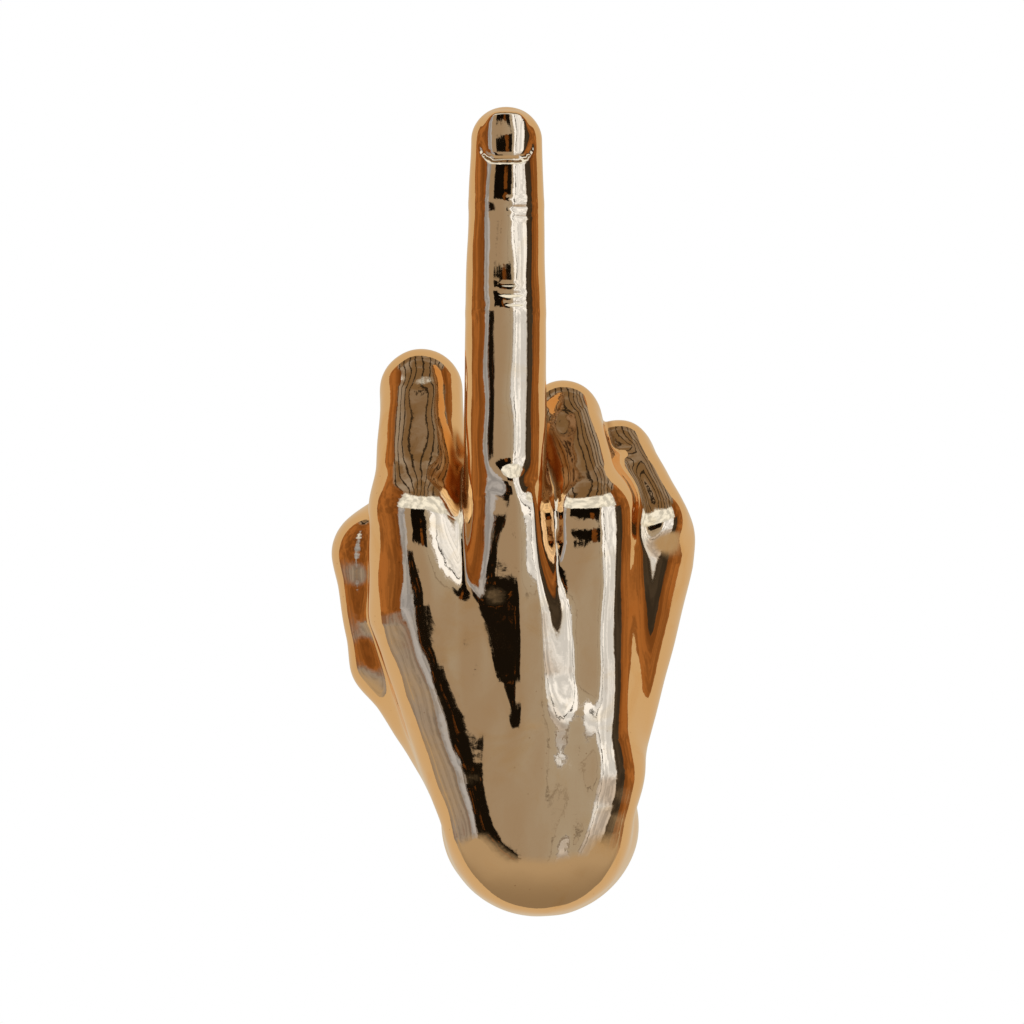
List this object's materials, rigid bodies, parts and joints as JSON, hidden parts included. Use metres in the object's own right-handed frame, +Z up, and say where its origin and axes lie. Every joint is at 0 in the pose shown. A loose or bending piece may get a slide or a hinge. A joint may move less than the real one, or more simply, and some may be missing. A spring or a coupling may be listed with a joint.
{
  "type": "hand wall sculpture",
  "caption": "Gold-plated life-size right hand that reaches out of a wall, bends up at the wrist and raises its middle finger, hung by keyholes in the back of its forearm stub.",
  "frame": {"origin": "centre of the forearm stub on the wall's face", "axes": "+Y into the wall, +Z up along the raised finger, -X to the thumb's side"},
  "size_m": [0.0989, 0.1198, 0.2181],
  "materials": {
    "gold_plating": "bright plated gold over cast resin, mirror polished, with faint casting ripples",
    "plug_resin": "plain cast resin, matt",
    "zinc_steel": "bright zinc plated",
    "felt": "dark pressed felt",
    "nylon": "satin moulded nylon"
  },
  "bodies": {
    "wall_fixing": {"wall_screw_left": "zinc_steel", "wall_screw_right": "zinc_steel", "wall_plug_left": "nylon", "wall_plug_right": "nylon"},
    "sculpture": {"hand_casting": "gold_plating", "back_plug": "plug_resin", "keyhole_plate": "zinc_steel", "wall_pad": "felt", "plate_screw_left": "zinc_steel", "plate_screw_right": "zinc_steel"}
  },
  "joints": [
    {"name": "lift_off", "type": "slide", "parent": "wall_fixing", "child": "sculpture", "axis": [0, 0, 1], "range_m": [0, 0.007]}
  ]
}
